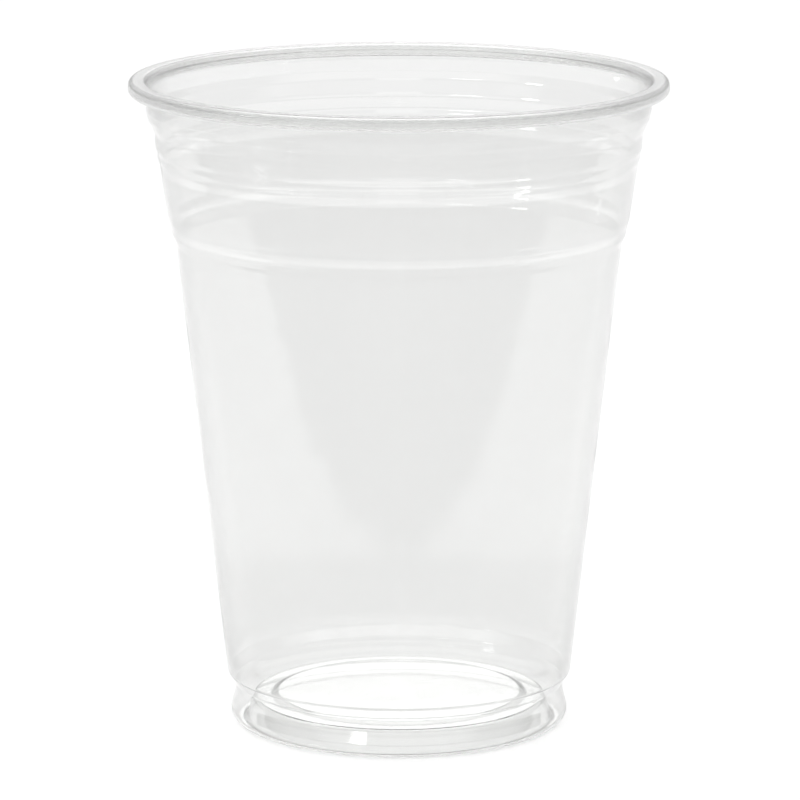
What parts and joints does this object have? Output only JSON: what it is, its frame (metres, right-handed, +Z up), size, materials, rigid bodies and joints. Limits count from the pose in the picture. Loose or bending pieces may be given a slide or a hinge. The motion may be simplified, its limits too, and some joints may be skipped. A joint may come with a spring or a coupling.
{
  "type": "plastic disposable cup",
  "caption": "Clear thin-walled disposable cup with a rolled lip, a stepped collar, stiffening rings, a tapered body and a raised base on a narrow foot.",
  "frame": {"origin": "centre of the ring that the cup stands on, at table height", "axes": "+Z up along the cup's axis, towards the open mouth; the cup is round, so X and Y are alike"},
  "size_m": [0.098, 0.098, 0.1192],
  "materials": {
    "clear_plastic": "clear, glossy and colourless, like thermoformed PET"
  },
  "bodies": {
    "root": {"cup": "clear_plastic"}
  },
  "joints": []
}
